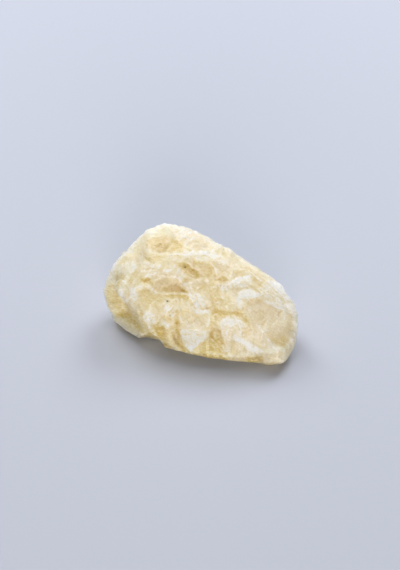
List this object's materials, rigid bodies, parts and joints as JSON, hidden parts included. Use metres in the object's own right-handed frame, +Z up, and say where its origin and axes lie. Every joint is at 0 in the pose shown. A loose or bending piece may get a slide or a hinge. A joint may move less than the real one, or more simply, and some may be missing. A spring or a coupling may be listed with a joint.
{
  "type": "raw calcite stone",
  "caption": "Rough hand-sized lump of honey-coloured calcite with chipped facets, stepped ledges, shallow hollows and a flat resting face.",
  "frame": {"origin": "on the resting plane, under the middle of the stone's box", "axes": "+X along the stone's length, towards its lower, narrower end; +Y to the back; +Z up from the resting face"},
  "size_m": [0.0886, 0.0544, 0.0404],
  "materials": {
    "calcite": "raw broken calcite: translucent honey with frosted white edges"
  },
  "bodies": {
    "root": {"calcite": "calcite"}
  },
  "joints": []
}
